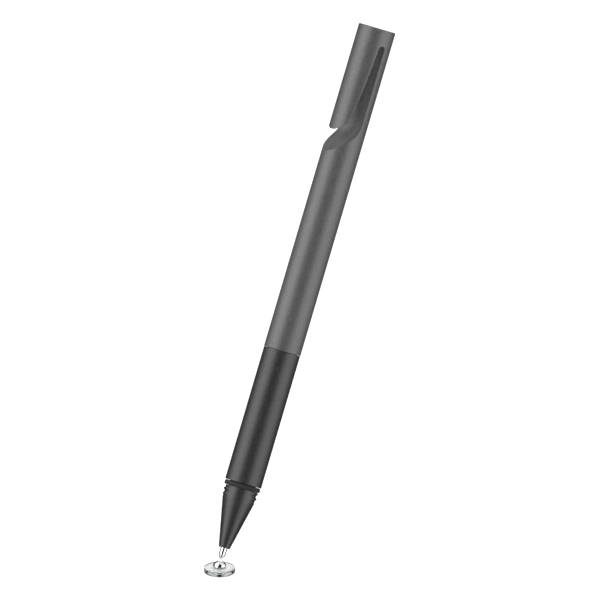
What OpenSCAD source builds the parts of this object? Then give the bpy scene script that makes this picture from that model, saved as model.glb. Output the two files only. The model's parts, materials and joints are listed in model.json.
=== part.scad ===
// Slim stylus pen with a swivelling clear disc tip and a clip milled out of its barrel.
// The disc lies flat on the writing surface, Z = 0, and the origin is the centre of its underside.
// The pieces of the pen are drawn about the pen's own axis, with the centre of the tip's ball at zero
// and the clip towards +X, and held_in_hand() leans them over the disc.

/* [Pose] */
// Angle of the pen's axis from the vertical, as it is held for writing
pen_lean = 27.6; // [10:0.1:35]
// Turn of the clip about the pen's axis, away from the upper side of the leaning pen
clip_roll = 21.7; // [-90:0.1:90]

/* [Barrel] */
// Outside diameter of the barrel
barrel_d = 8.1; // [7.8:0.1:9]
// Length of the barrel, from the seam with the grip to its flat top
barrel_len = 71.8; // [60:0.1:90]
// Wall of the bored lower part of the barrel
barrel_wall = 0.95; // [0.8:0.05:1.1]
// Rounding of the top edge
top_round = 0.25; // [0.1:0.05:0.6]

/* [Clip] */
// Width of the milled slot at its round upper end
slot_w = 1.52; // [1.2:0.02:2]
// Metal left above the slot
slot_top = 3.5; // [2.4:0.1:6]
// Length of the clip, from the top of the pen to the tip of its free end
clip_len = 23.4; // [20:0.05:27]
// Thickness of the clip at its free end
clip_tip_t = 1.65; // [1.3:0.05:1.9]
// Inward bow of the clip's inner face
clip_bow = 0.21; // [0.05:0.01:0.35]
// Slope of the end face of the clip against the pen's axis
clip_end_angle = 36.7; // [30:0.1:50]
// Rounding of the edge at the tip of the clip
clip_edge_r = 0.12; // [0.05:0.01:0.2]
// Open mouth between the tip of the clip and the lip of the ramp, along the pen
clip_mouth = 4.7; // [3.5:0.05:7]
// Slope of the ramp below the clip against the pen's axis
ramp_angle = 41.5; // [35:0.5:50]
// Radius of the bend from the slot's flat face into the ramp
ramp_bend_r = 5.2; // [3:0.1:6]
// Solid metal between the lip of the ramp and the bore below it
bore_web = 3.9; // [2:0.1:8]

/* [Grip] */
// How much thinner the grip is than the barrel, in diameter
grip_step = 0.1; // [0:0.02:0.3]
// Length of the grip
grip_len = 29.5; // [26:0.1:45]
// Edge break on both sides of the seam
seam_edge = 0.1; // [0.05:0.01:0.2]
// Height of the shoulders inside the grip
grip_shoulder = 0.4; // [0.3:0.05:0.8]

/* [Coupling] */
// Length of the joiner's stub in the barrel, and of the one in the grip
coupling_len = 8.5; // [6:0.1:10]
// Height of its collar, which is let into the grip
coupling_collar_h = 1.5; // [1:0.1:2.5]
// How far the collar stands out from the stubs
coupling_collar_w = 0.3; // [0.2:0.02:0.35]
// Wall of the joiner
coupling_wall = 1.1; // [0.7:0.05:1.4]

/* [Nose] */
// Length of the nose's cone
cone_len = 10.65; // [10:0.05:14]
// Diameter of the cone where it meets the thread
cone_d = 6.96; // [6.5:0.02:7.1]
// Diameter of the cone's end, where the pin comes out
nose_end_d = 2.42; // [2.1:0.02:2.8]
// Outside diameter of the cap thread
thread_d = 7.46; // [7.1:0.02:7.6]
// Length of the cap thread
thread_len = 2.55; // [1.6:0.05:5]
// Chamfer at both ends of the thread
thread_chamfer = 0.25; // [0.08:0.01:0.3]
// Diameter of the floor of the O-ring's groove
groove_d = 5.68; // [5.4:0.02:5.8]
// Diameter of the spigot that is screwed into the grip
spigot_d = 5.9; // [5.6:0.02:6.1]
// Length of the spigot
spigot_len = 7.6; // [6.5:0.1:10]
// Edge break of the nose's end and of the spigot
nose_edge = 0.05; // [0.05:0.01:0.15]

/* [O-ring] */
// Thickness of the O-ring's cord
o_ring_cord = 1.06; // [0.8:0.02:1.06]
// Side play of the O-ring in its groove
o_ring_play = 0.06; // [0.04:0.02:0.4]

/* [Pin] */
// Diameter of the pin's shank
pin_d = 1.46; // [1.3:0.02:1.5]
// Diameter of the ball
ball_d = 1; // [0.9:0.02:1.1]
// Diameter of the neck above the ball
neck_d = 0.36; // [0.3:0.02:0.44]
// Distance from the centre of the ball to the foot of the taper
neck_len = 0.9; // [0.7:0.02:1.1]
// Length of the rounded taper
taper_len = 2.2; // [1.6:0.1:2.3]
// Distance from the centre of the ball to the end of the nose
pin_reach = 3.4; // [3.4:0.1:5]
// Height of the collar that keeps the pin in the nose
pin_collar_h = 0.8; // [0.5:0.05:1.2]
// Diameter of the tail that turns in the plunger
tail_d = 1; // [0.8:0.02:1.2]
// Length of the tail
tail_len = 0.9; // [0.6:0.05:1.1]

/* [Cushion] */
// Bore of the nose round the pin's collar, the plunger and the spring
cushion_bore_d = 3; // [2.9:0.05:3.3]
// Length of the nose's own hole in front of the bush
front_hole_len = 1.7; // [1.5:0.1:2.2]
// Length of the guide bush
bush_len = 4; // [3.5:0.1:5]
// Wall of the guide bush
bush_wall = 0.4; // [0.3:0.02:0.44]
// Height of the flange of the guide bush
bush_flange_h = 0.6; // [0.4:0.05:0.9]
// Height of the plunger's head
plunger_h = 1.5; // [1.3:0.05:2]
// Diameter of the guide stems of plunger and plug inside the spring
stem_d = 1.5; // [1.2:0.05:1.6]
// Length of these guide stems
stem_len = 1.5; // [0.8:0.1:2]
// Thickness of the spring's wire
spring_wire = 0.28; // [0.2:0.02:0.32]
// Turns of the spring, its two closed end turns included
spring_turns = 11; // [8:1:12]
// Diameter of the screw plug
plug_d = 3.9; // [3.6:0.05:4.2]
// Length of the screw plug
plug_len = 3.5; // [2.5:0.1:4]
// How deep the plug sits below the end of the spigot
plug_recess = 0.8; // [0.3:0.1:1.5]
// Width of the driver slot in the plug
driver_slot_w = 0.6; // [0.4:0.05:0.9]
// Depth of the driver slot in the plug
driver_slot_depth = 0.8; // [0.4:0.05:1.2]

/* [Disc] */
// Diameter of the clear disc
disc_d = 6.7; // [6:0.1:8]
// Thickness of the clear disc
disc_t = 0.97; // [0.7:0.01:1.3]
// Rounding of the disc's edges
disc_round = 0.12; // [0.05:0.01:0.2]
// Thickness of the conductive film under the disc
film_t = 0.08; // [0.05:0.01:0.15]
// How far the film stays back from the disc's edge
film_inset = 0.12; // [0.1:0.02:0.4]
// Diameter of the hub's dome
dome_d = 3; // [2.7:0.02:3.1]
// Width of the hub's flange outside the dome
hub_flange_w = 0.05; // [0.05:0.01:0.4]
// Height of the hub's flange
hub_flange_h = 0.14; // [0.1:0.01:0.4]
// Edge break of the hub's flange
hub_edge = 0.06; // [0.02:0.01:0.09]
// Diameter of the hub's stem in the disc
hub_stem_d = 2.2; // [1.6:0.05:2.5]
// Height of the ball's centre over the disc
ball_rise = 0.95; // [0.85:0.01:1]
// Height of the socket's mouth over the ball's centre
mouth_rise = 0.2; // [0.15:0.01:0.24]

/* [Fits] */
// Radial clearance of the turning and sliding fits of the tip
run_gap = 0.03; // [0.02:0.01:0.05]
// Radial clearance of the joined fits
join_gap = 0.05; // [0.02:0.01:0.08]
// Radial clearance of the parts that move freely in the cushion's bore
free_gap = 0.1; // [0.08:0.01:0.15]
// Gap between the end faces of pieces that move apart
face_gap = 0.02; // [0.01:0.01:0.04]

/* [Hidden] */
$fn = 96;

// Colours of the finishes
grey_anodised = [0.34, 0.34, 0.35];
black_anodised = [0.2, 0.2, 0.21];
black_rubber = [0.08, 0.08, 0.08];
chrome = [0.8, 0.8, 0.82];
brass = [0.78, 0.66, 0.36];
ivory_plastic = [0.88, 0.86, 0.8];
spring_steel = [0.6, 0.61, 0.63];
clear_plastic = [0.86, 0.9, 0.93, 0.45];
film_grey = [0.7, 0.72, 0.74];

// Overrun of every cut
overrun = 1;
// Straight pieces that stand for one arc
arc_steps = 12;

// Heights of the disc and its ball over the writing surface
disc_z = film_t;
disc_top_z = disc_z + disc_t;
ball_z = disc_top_z + ball_rise;

// Heights along the pen, from the centre of the ball
nose_z = pin_reach;
cone_top_z = nose_z + cone_len;
thread_top_z = cone_top_z + thread_len;
groove_w = o_ring_cord + o_ring_play;
grip_z = thread_top_z + groove_w;
spigot_top_z = grip_z + spigot_len;
seam_z = grip_z + grip_len;
top_z = seam_z + barrel_len;

// Stack of the cushion inside the nose
bush_z = nose_z + front_hole_len;
bush_top_z = bush_z + bush_len;
bush_seat_z = bush_top_z - bush_flange_h;
pin_collar_z = bush_top_z + face_gap;
pin_collar_top_z = pin_collar_z + pin_collar_h;
plunger_z = pin_collar_top_z + face_gap;
plunger_top_z = plunger_z + plunger_h;
plug_z = spigot_top_z - plug_recess - plug_len;
spring_z = plunger_top_z + face_gap;
spring_len = plug_z - face_gap - spring_z;

// Radii that follow from the fits
barrel_r = barrel_d / 2;
grip_r = barrel_r - grip_step / 2;
bore_r = barrel_r - barrel_wall;
coupling_r = bore_r - join_gap;
coupling_collar_r = coupling_r + coupling_collar_w;
pin_r = pin_d / 2;
bush_r = pin_r + run_gap + bush_wall;
cushion_bore_r = cushion_bore_d / 2;
cushion_r = cushion_bore_r - free_gap;
spring_r = cushion_r - free_gap - spring_wire / 2;
socket_r = ball_d / 2 + run_gap;

// Heights of the clip's cut, down from the top of the pen
slot_r = slot_w / 2;
slot_centre_z = -slot_top - slot_r;
lip_z = -clip_len - clip_mouth;
ramp_bend_x = ramp_bend_r * (1 - cos(ramp_angle));
ramp_bend_h = ramp_bend_r * sin(ramp_angle);
ramp_h = (barrel_r + slot_r - ramp_bend_x) / tan(ramp_angle);
ramp_bend_z = lip_z + ramp_h + ramp_bend_h;
clip_tip_x = barrel_r - clip_tip_t;
clip_corner_z = -clip_len + clip_tip_t / tan(clip_end_angle);
bore_end_z = top_z + lip_z - bore_web;
// Half the point angle of a common drill
drill_half_angle = 59;

// Points of an arc from one angle to another
function arc(centre, r, from, to, steps = arc_steps) =
    [for (i = [0:steps]) centre + r * [cos(from + (to - from) * i / steps), sin(from + (to - from) * i / steps)]];

// Points from a to b along a parabola that bows by sag to the right of the way
function bowed(a, b, sag, steps = arc_steps) =
    let (way = b - a, side = [way.y, -way.x] / norm(way))
    [for (i = [0:steps]) let (k = i / steps) a + way * k + side * sag * 4 * k * (1 - k)];

// Puts a piece of the pen over the disc, leaning and turned as it is held
module held_in_hand() {
    translate([0, 0, ball_z])
        rotate([0, pen_lean, 0])
            rotate([0, 0, 180 - clip_roll])
                children();
}

// Cross-section of the cut that frees the clip, with zero at the top of the pen
module clip_cut_outline() {
    edge_x = barrel_r - clip_edge_r;
    edge_z = -clip_len + clip_edge_r / tan(clip_end_angle / 2);
    outside_x = barrel_r + overrun;
    polygon(concat(
        arc([0, slot_centre_z], slot_r, 0, 180),
        arc([ramp_bend_r - slot_r, ramp_bend_z], ramp_bend_r, 180, 180 + ramp_angle),
        [[outside_x, lip_z - overrun / tan(ramp_angle)]],
        [[outside_x, edge_z]],
        arc([edge_x, edge_z], clip_edge_r, 0, clip_end_angle - 180),
        bowed([clip_tip_x, clip_corner_z], [slot_r, slot_centre_z], -clip_bow)
    ));
}

module barrel() {
    color(grey_anodised)
    held_in_hand()
    difference() {
        rotate_extrude()
            polygon(concat(
                [[bore_r, seam_z], [barrel_r - seam_edge, seam_z], [barrel_r, seam_z + seam_edge]],
                arc([barrel_r - top_round, top_z - top_round], top_round, 0, 90),
                [[0, top_z], [0, bore_end_z + bore_r / tan(drill_half_angle)], [bore_r, bore_end_z]]
            ));
        translate([0, barrel_r + overrun, top_z])
            rotate([90, 0, 0])
                linear_extrude(height = barrel_d + 2 * overrun)
                    clip_cut_outline();
    }
}

// Threaded joiner, its collar let into the grip and its upper stub in the barrel
module barrel_coupling() {
    collar_z = seam_z - coupling_collar_h;
    bottom_z = collar_z - coupling_len;
    stub_top_z = seam_z + coupling_len;
    color(brass)
    held_in_hand()
    rotate_extrude()
        polygon([
            [coupling_r - coupling_wall, bottom_z],
            [coupling_r - seam_edge, bottom_z],
            [coupling_r, bottom_z + seam_edge],
            [coupling_r, collar_z],
            [coupling_collar_r, collar_z],
            [coupling_collar_r, seam_z],
            [coupling_r, seam_z],
            [coupling_r, stub_top_z - seam_edge],
            [coupling_r - seam_edge, stub_top_z],
            [coupling_r - coupling_wall, stub_top_z]
        ]);
}

module grip_sleeve() {
    collar_z = seam_z - coupling_collar_h;
    shoulder_z = collar_z - coupling_len - join_gap;
    spigot_bore_r = spigot_d / 2 + join_gap;
    inner_r = min(spigot_d / 2, coupling_r) - grip_shoulder;
    color(black_anodised)
    held_in_hand()
    rotate_extrude()
        polygon([
            [spigot_bore_r, grip_z],
            [grip_r - seam_edge, grip_z],
            [grip_r, grip_z + seam_edge],
            [grip_r, seam_z - seam_edge],
            [grip_r - seam_edge, seam_z],
            [coupling_collar_r + join_gap, seam_z],
            [coupling_collar_r + join_gap, collar_z],
            [bore_r, collar_z],
            [bore_r, shoulder_z],
            [inner_r, shoulder_z],
            [inner_r, spigot_top_z],
            [spigot_bore_r, spigot_top_z]
        ]);
}

// Cone, cap thread, O-ring groove and spigot, bored for the cushion
module nose_cone() {
    front_hole_r = pin_r + join_gap;
    plug_bore_r = plug_d / 2 + join_gap;
    nose_end_r = nose_end_d / 2;
    thread_r = thread_d / 2;
    spigot_r = spigot_d / 2;
    color(black_anodised)
    held_in_hand()
    rotate_extrude()
        polygon([
            [front_hole_r, nose_z],
            [nose_end_r - nose_edge, nose_z],
            [nose_end_r, nose_z + nose_edge],
            [cone_d / 2, cone_top_z],
            [thread_r, cone_top_z + thread_chamfer],
            [thread_r, thread_top_z - thread_chamfer],
            [thread_r - thread_chamfer, thread_top_z],
            [groove_d / 2, thread_top_z],
            [groove_d / 2, grip_z],
            [spigot_r, grip_z],
            [spigot_r, spigot_top_z - nose_edge],
            [spigot_r - nose_edge, spigot_top_z],
            [plug_bore_r, spigot_top_z],
            [plug_bore_r, plug_z],
            [cushion_bore_r, plug_z],
            [cushion_bore_r, bush_seat_z],
            [bush_r + join_gap, bush_seat_z],
            [bush_r + join_gap, bush_z],
            [front_hole_r, bush_z]
        ]);
}

// Rubber ring that holds the screwed-on cap, between the thread and the grip
module cap_o_ring() {
    cord_r = o_ring_cord / 2;
    color(black_rubber)
    held_in_hand()
    translate([0, 0, thread_top_z + groove_w / 2])
        rotate_extrude()
            translate([groove_d / 2 + run_gap + cord_r, 0])
                circle(r = cord_r);
}

module spring_plug() {
    plug_r = plug_d / 2;
    color(brass)
    held_in_hand()
    difference() {
        union() {
            translate([0, 0, plug_z])
                cylinder(r = plug_r, h = plug_len);
            translate([0, 0, plug_z - stem_len])
                cylinder(r = stem_d / 2, h = stem_len + overrun);
        }
        translate([-driver_slot_w / 2, -plug_r - overrun, plug_z + plug_len - driver_slot_depth])
            cube([driver_slot_w, plug_d + 2 * overrun, driver_slot_depth + overrun]);
    }
}

module tip_bush() {
    hole_r = pin_r + run_gap;
    color(ivory_plastic)
    held_in_hand()
    rotate_extrude()
        polygon([
            [hole_r, bush_z],
            [bush_r, bush_z],
            [bush_r, bush_seat_z],
            [cushion_r + free_gap - join_gap, bush_seat_z],
            [cushion_r + free_gap - join_gap, bush_top_z],
            [hole_r, bush_top_z]
        ]);
}

// Helical compression spring with one closed turn at each end, swept as a six-sided wire
module cushion_spring() {
    sides = 6;
    rings_per_turn = 10;
    rings = spring_turns * rings_per_turn;
    wire_r = spring_wire / 2;
    closed_rise = spring_wire + run_gap;
    open_rise = (spring_len - spring_wire - 2 * closed_rise) / (spring_turns - 2);
    function wire_z(turn) =
        turn < 1 ? turn * closed_rise
        : turn > spring_turns - 1 ? spring_len - spring_wire - (spring_turns - turn) * closed_rise
        : closed_rise + (turn - 1) * open_rise;
    function wire_ring(i) =
        let (turn = i / rings_per_turn)
        [for (k = [0:sides - 1])
            let (r = spring_r + wire_r * cos(360 * k / sides))
            [
                r * cos(360 * turn),
                r * sin(360 * turn),
                spring_z + wire_r + wire_z(turn) + wire_r * sin(360 * k / sides)
            ]
        ];
    points = [for (i = [0:rings]) each wire_ring(i)];
    walls = [for (i = [0:rings - 1], k = [0:sides - 1])
        let (a = i * sides + k, b = i * sides + (k + 1) % sides)
        each [[a, a + sides, b], [b, a + sides, b + sides]]
    ];
    ends = [for (k = [1:sides - 2])
        each [[0, k, k + 1], [rings * sides, rings * sides + k + 1, rings * sides + k]]
    ];
    color(spring_steel)
    held_in_hand()
        polyhedron(points = points, faces = concat(walls, ends));
}

// Cup that rests on the pin's collar and guides the spring
module contact_plunger() {
    cup_r = tail_d / 2 + run_gap;
    cup_top_z = pin_collar_top_z + tail_len + face_gap;
    color(brass)
    held_in_hand()
    rotate_extrude()
        polygon([
            [cup_r, plunger_z],
            [cushion_r, plunger_z],
            [cushion_r, plunger_top_z],
            [stem_d / 2, plunger_top_z],
            [stem_d / 2, plunger_top_z + stem_len],
            [0, plunger_top_z + stem_len],
            [0, cup_top_z],
            [cup_r, cup_top_z]
        ]);
}

// Ball, neck, rounded taper, shank, collar and tail, turned in one piece
module tip_pin() {
    neck_r = neck_d / 2;
    taper_w = pin_r - neck_r;
    // Radius of the taper's arc, which runs tangent into the shank
    taper_r = (taper_len * taper_len + taper_w * taper_w) / (2 * taper_w);
    taper_top_z = neck_len + taper_len;
    color(chrome)
    held_in_hand()
    union() {
        sphere(d = ball_d);
        rotate_extrude()
            polygon(concat(
                [[0, 0], [neck_r, 0]],
                arc([pin_r - taper_r, taper_top_z], taper_r, -asin(taper_len / taper_r), 0),
                [
                    [pin_r, pin_collar_z],
                    [cushion_r, pin_collar_z],
                    [cushion_r, pin_collar_top_z],
                    [tail_d / 2, pin_collar_top_z],
                    [tail_d / 2, pin_collar_top_z + tail_len],
                    [0, pin_collar_top_z + tail_len]
                ]
            ));
    }
}

// Socket of the ball: dome, flange and the stem that carries the signal through the disc
module disc_hub() {
    flange_r = dome_d / 2 + hub_flange_w;
    mouth_h = ball_rise + mouth_rise;
    color(chrome)
    difference() {
        union() {
            translate([0, 0, disc_top_z])
                intersection() {
                    sphere(d = dome_d);
                    cylinder(d = dome_d + overrun, h = mouth_h);
                }
            rotate_extrude()
                polygon([
                    [0, disc_z],
                    [hub_stem_d / 2, disc_z],
                    [hub_stem_d / 2, disc_top_z],
                    [flange_r, disc_top_z],
                    [flange_r, disc_top_z + hub_flange_h - hub_edge],
                    [flange_r - hub_edge, disc_top_z + hub_flange_h],
                    [0, disc_top_z + hub_flange_h]
                ]);
        }
        translate([0, 0, ball_z])
            sphere(r = socket_r);
    }
}

module disc() {
    disc_r = disc_d / 2;
    hole_r = hub_stem_d / 2 + run_gap;
    color(clear_plastic)
    rotate_extrude()
        polygon(concat(
            [[hole_r, disc_z]],
            arc([disc_r - disc_round, disc_z + disc_round], disc_round, -90, 0),
            arc([disc_r - disc_round, disc_top_z - disc_round], disc_round, 0, 90),
            [[hole_r, disc_top_z]]
        ));
}

module contact_film() {
    color(film_grey)
        cylinder(r = disc_d / 2 - disc_round - film_inset, h = film_t);
}

barrel();
barrel_coupling();
grip_sleeve();
nose_cone();
cap_o_ring();
spring_plug();
tip_bush();
cushion_spring();
contact_plunger();
tip_pin();
disc_hub();
disc();
contact_film();
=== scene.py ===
# Looks of the stylus pen: finishes, fine turned forms, threads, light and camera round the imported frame.
import json
import math

import bmesh
import bpy
import numpy as np
from mathutils import Matrix, Vector
from mathutils.geometry import delaunay_2d_cdt


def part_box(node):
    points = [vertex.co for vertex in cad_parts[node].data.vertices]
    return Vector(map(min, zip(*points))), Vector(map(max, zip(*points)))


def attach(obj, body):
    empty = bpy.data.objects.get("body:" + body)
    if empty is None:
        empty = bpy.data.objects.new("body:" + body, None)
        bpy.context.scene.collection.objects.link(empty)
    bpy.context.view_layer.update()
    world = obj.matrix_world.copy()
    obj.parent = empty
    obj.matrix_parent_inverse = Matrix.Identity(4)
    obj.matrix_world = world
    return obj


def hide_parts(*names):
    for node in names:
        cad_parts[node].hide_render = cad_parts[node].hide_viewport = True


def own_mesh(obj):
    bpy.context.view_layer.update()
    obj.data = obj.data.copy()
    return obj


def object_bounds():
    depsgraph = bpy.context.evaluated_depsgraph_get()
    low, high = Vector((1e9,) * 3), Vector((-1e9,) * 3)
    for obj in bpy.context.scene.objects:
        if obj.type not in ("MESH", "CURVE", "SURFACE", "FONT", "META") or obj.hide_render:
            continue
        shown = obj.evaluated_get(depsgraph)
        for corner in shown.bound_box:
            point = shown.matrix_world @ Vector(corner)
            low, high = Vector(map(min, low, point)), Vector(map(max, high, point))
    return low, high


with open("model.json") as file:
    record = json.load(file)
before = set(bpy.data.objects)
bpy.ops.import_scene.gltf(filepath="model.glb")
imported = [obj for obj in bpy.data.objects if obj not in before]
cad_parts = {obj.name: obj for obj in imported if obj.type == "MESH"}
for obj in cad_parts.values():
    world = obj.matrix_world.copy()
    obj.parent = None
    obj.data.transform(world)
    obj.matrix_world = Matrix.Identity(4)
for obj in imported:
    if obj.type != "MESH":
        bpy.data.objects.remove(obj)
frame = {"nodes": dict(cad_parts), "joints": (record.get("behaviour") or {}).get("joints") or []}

cad_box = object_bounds()

# Scale and fineness
MM = 0.001
SEGMENTS = 128
ARC_STEPS = 6
EDGE_STEPS = 3
ON_AXIS = 1e-7
SHARP = math.radians(32)
WELD = 0.001 * MM
# An edge break takes this share of the shorter side beside it at most
EDGE_SHARE = 0.4

# The pen's own frame: millimetres from the centre of the tip's ball, +Z along the pen, clip towards +X
pin_spin = next(joint for joint in frame["joints"] if joint["name"] == "pin_spin")
BALL = Vector(pin_spin["pos_m"])
AXIS = Vector(pin_spin["axis"]).normalized()
PEN_LEAN = math.atan2(AXIS.x, AXIS.z)
CLIP_ROLL = math.radians(21.7)
PEN = (
    Matrix.Translation(BALL)
    @ Matrix.Rotation(PEN_LEAN, 4, "Y")
    @ Matrix.Rotation(math.pi - CLIP_ROLL, 4, "Z")
)
PEN_MM = PEN @ Matrix.Scale(MM, 4)
SIDEWAYS = PEN.col[1].to_3d()
# The tip's disc lies flat, so its pieces are turned about the row's own Z
DISC_MM = Matrix.Scale(MM, 4)

# Camera, as it saw the pen
AZIMUTH = math.radians(-52.4)
ELEVATION = math.radians(22.5)
VIEW_WIDTH = 128 * MM
CAMERA_DISTANCE = 600 * MM
CAMERA_SEES = (10 * MM, 20000 * MM)
RIGHT_OF_DISC = 17.15 * MM
ABOVE_DISC = 57.02 * MM
BACK = Vector((
    math.sin(AZIMUTH) * math.cos(ELEVATION),
    -math.cos(AZIMUTH) * math.cos(ELEVATION),
    math.sin(ELEVATION),
))
RIGHT = Vector((math.cos(AZIMUTH), math.sin(AZIMUTH), 0))
UP = BACK.cross(RIGHT)


def reach(node):
    """Lowest and highest height along the pen and largest radius of a CAD node, in millimetres."""
    to_pen = PEN_MM.inverted()
    points = [to_pen @ vertex.co for vertex in frame["nodes"][node].data.vertices]
    heights = [p.z for p in points]
    return min(heights), max(heights), max(math.hypot(p.x, p.y) for p in points)


# Outlines are lists of (radius, height) points in millimetres

def arc(radius_at, height_at, r, start, end, steps=ARC_STEPS):
    """Points of an arc round (radius_at, height_at), from one angle in degrees to another."""
    turn = [math.radians(start + (end - start) * i / steps) for i in range(steps + 1)]
    return [(radius_at + r * math.cos(a), height_at + r * math.sin(a)) for a in turn]


def bend(a, corner, b, steps):
    """Points of the smooth bend that starts at a, heads for the corner and ends at b."""
    points = []
    for i in range(steps + 1):
        t = i / steps
        points.append(a * (1 - t) ** 2 + corner * 2 * t * (1 - t) + b * t ** 2)
    return points


def eased(corners, edge, closed=True):
    """The outline with its sharp corners rounded, each cut back by edge at most."""
    points = []
    last = len(corners) - 1
    for i, corner in enumerate(corners):
        here = Vector(corner)
        before = Vector(corners[i - 1]) - here
        after = Vector(corners[(i + 1) % len(corners)]) - here
        cut = min(edge, EDGE_SHARE * before.length, EDGE_SHARE * after.length)
        turn = math.pi - before.angle(after, math.pi)
        is_end = not closed and i in (0, last)
        if is_end or turn < SHARP or here.x < ON_AXIS or cut < ON_AXIS:
            points.append(tuple(here))
            continue
        first = here + before.normalized() * cut
        final = here + after.normalized() * cut
        points += [tuple(p) for p in bend(first, here, final, EDGE_STEPS)]
    return points


def in_rows(outline, low, high, step):
    """The outline with extra points on what lies between two heights, for a thread to be cut into."""
    points = []
    for i, here in enumerate(outline):
        after = outline[(i + 1) % len(outline)]
        points.append(here)
        inside = low - ON_AXIS <= min(here[1], after[1]) and max(here[1], after[1]) <= high + ON_AXIS
        parts = math.ceil(abs(after[1] - here[1]) / step) if inside else 1
        for k in range(1, parts):
            t = k / parts
            radius = here[0] + (after[0] - here[0]) * t
            points.append((radius, here[1] + (after[1] - here[1]) * t))
    return points


def smoothstep(t):
    """Goes smoothly from 0 to 1 as t does."""
    t = max(0.0, min(1.0, t))
    return t * t * (3 - 2 * t)


def ridge(start, pitch, turns, width, height, first_angle=0.0):
    """A function of height and angle that gives the rise of a right-handed thread's ridge."""
    def rise(z, angle):
        share = ((angle - first_angle) / (2 * math.pi)) % 1.0
        path = share + round((z - start) / pitch - share)
        if path < 0 or path > turns:
            return 0.0
        off = abs(z - start - pitch * path) / (width / 2)
        ends = smoothstep(path / THREAD_FADE) * smoothstep((turns - path) / THREAD_FADE)
        return height * ends * smoothstep((1 - off) * THREAD_FLANK)

    return rise


def spin(bm, outline, place, shape=None, closed=True):
    """Spins an outline about the Z axis of place. shape may change a radius by its height and angle."""
    rings = []
    for radius, height in outline:
        if radius < ON_AXIS:
            rings.append([bm.verts.new(place @ Vector((0, 0, height)))] * SEGMENTS)
            continue
        ring = []
        for k in range(SEGMENTS):
            angle = 2 * math.pi * k / SEGMENTS
            r = shape(radius, height, angle) if shape else radius
            point = Vector((r * math.cos(angle), r * math.sin(angle), height))
            ring.append(bm.verts.new(place @ point))
        rings.append(ring)
    pairs = zip(rings, rings[1:] + rings[:1] if closed else rings[1:])
    for ring, after in pairs:
        for k in range(SEGMENTS):
            n = (k + 1) % SEGMENTS
            corners = list(dict.fromkeys([ring[k], ring[n], after[n], after[k]]))
            if len(corners) > 2:
                bm.faces.new(corners)


def quads(bm, rows, material=0):
    """Faces between each row of vertices and the next."""
    for a, b in zip(rows, rows[1:]):
        for k in range(len(a) - 1):
            bm.faces.new((a[k], a[k + 1], b[k + 1], b[k])).material_index = material


def as_object(name, bm, *materials):
    """The mesh as an object of the scene."""
    mesh = bpy.data.meshes.new(name)
    bm.to_mesh(mesh)
    bm.free()
    for material in materials:
        mesh.materials.append(material)
    made = bpy.data.objects.new(name, mesh)
    bpy.context.scene.collection.objects.link(made)
    return made


def finished(name, bm, node, body, *more_materials):
    """The piece that stands for a CAD node, smooth between its sharp edges, riding on its body."""
    bmesh.ops.recalc_face_normals(bm, faces=bm.faces)
    material, slot = FINISHES[node]
    piece = as_object(name, bm, material, *more_materials)
    piece.data.shade_smooth()
    piece.data.set_sharp_from_angle(angle=SHARP)
    even = piece.modifiers.new("even_normals", "WEIGHTED_NORMAL")
    even.keep_sharp = True
    even.weight = 100
    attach(piece, body)
    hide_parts(node)
    return piece


def turned(name, node, body, outline, place=None, shape=None):
    """A closed turned piece, from its outline."""
    bm = bmesh.new()
    spin(bm, outline, place or PEN_MM, shape)
    return finished(name, bm, node, body)


# Materials

def new_material(name):
    """A material, its nodes and its shader."""
    material = bpy.data.materials.new(name)
    material.use_nodes = True
    shader = material.node_tree.nodes["Principled BSDF"]
    return material, material.node_tree, shader


def grain(tree, size, detail=2.0, roughness=0.5):
    """Noise of that grain size in metres, from 0 to 1, fixed to the piece."""
    place = tree.nodes.new("ShaderNodeTexCoord")
    noise = tree.nodes.new("ShaderNodeTexNoise")
    noise.inputs["Scale"].default_value = 1 / size
    noise.inputs["Detail"].default_value = detail
    noise.inputs["Roughness"].default_value = roughness
    tree.links.new(place.outputs["Object"], noise.inputs["Vector"])
    return noise.outputs["Fac"]


def between(tree, value, low, high, from_low=0.3, from_high=0.7):
    """Maps a value to another range, from the one that a noise mostly keeps to if none is given."""
    node = tree.nodes.new("ShaderNodeMapRange")
    node.inputs["From Min"].default_value = from_low
    node.inputs["From Max"].default_value = from_high
    node.inputs["To Min"].default_value = low
    node.inputs["To Max"].default_value = high
    tree.links.new(value, node.inputs["Value"])
    return node.outputs["Result"]


def toned(tree, tone, colour, spread):
    """The colour, from that share darker to that share lighter as the tone goes from 0 to 1."""
    node = tree.nodes.new("ShaderNodeMix")
    node.data_type = "RGBA"
    node.inputs["A"].default_value = (*[c * (1 - spread) for c in colour], 1)
    node.inputs["B"].default_value = (*[c * (1 + spread) for c in colour], 1)
    tree.links.new(tone, node.inputs["Factor"])
    return node.outputs["Result"]


def calculated(tree, operation, *terms):
    """A Math node of that operation on values or plain numbers."""
    node = tree.nodes.new("ShaderNodeMath")
    node.operation = operation
    for term, socket in zip(terms, node.inputs):
        if isinstance(term, (int, float)):
            socket.default_value = term
        else:
            tree.links.new(term, socket)
    return node.outputs["Value"]


def distance_along(tree, way, either_side=False):
    """How far along that direction from the pen's ball a point of the piece lies, in metres."""
    place = tree.nodes.new("ShaderNodeTexCoord")
    along = tree.nodes.new("ShaderNodeVectorMath")
    along.operation = "DOT_PRODUCT"
    along.inputs[1].default_value = way
    tree.links.new(place.outputs["Object"], along.inputs[0])
    distance = calculated(tree, "SUBTRACT", along.outputs["Value"], BALL.dot(way))
    return calculated(tree, "ABSOLUTE", distance) if either_side else distance


def scaled(tree, colour, factor):
    """The colour, made darker or lighter by that factor."""
    node = tree.nodes.new("ShaderNodeVectorMath")
    node.operation = "SCALE"
    tree.links.new(colour, node.inputs[0])
    tree.links.new(factor, node.inputs["Scale"])
    return node.outputs["Vector"]


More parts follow.
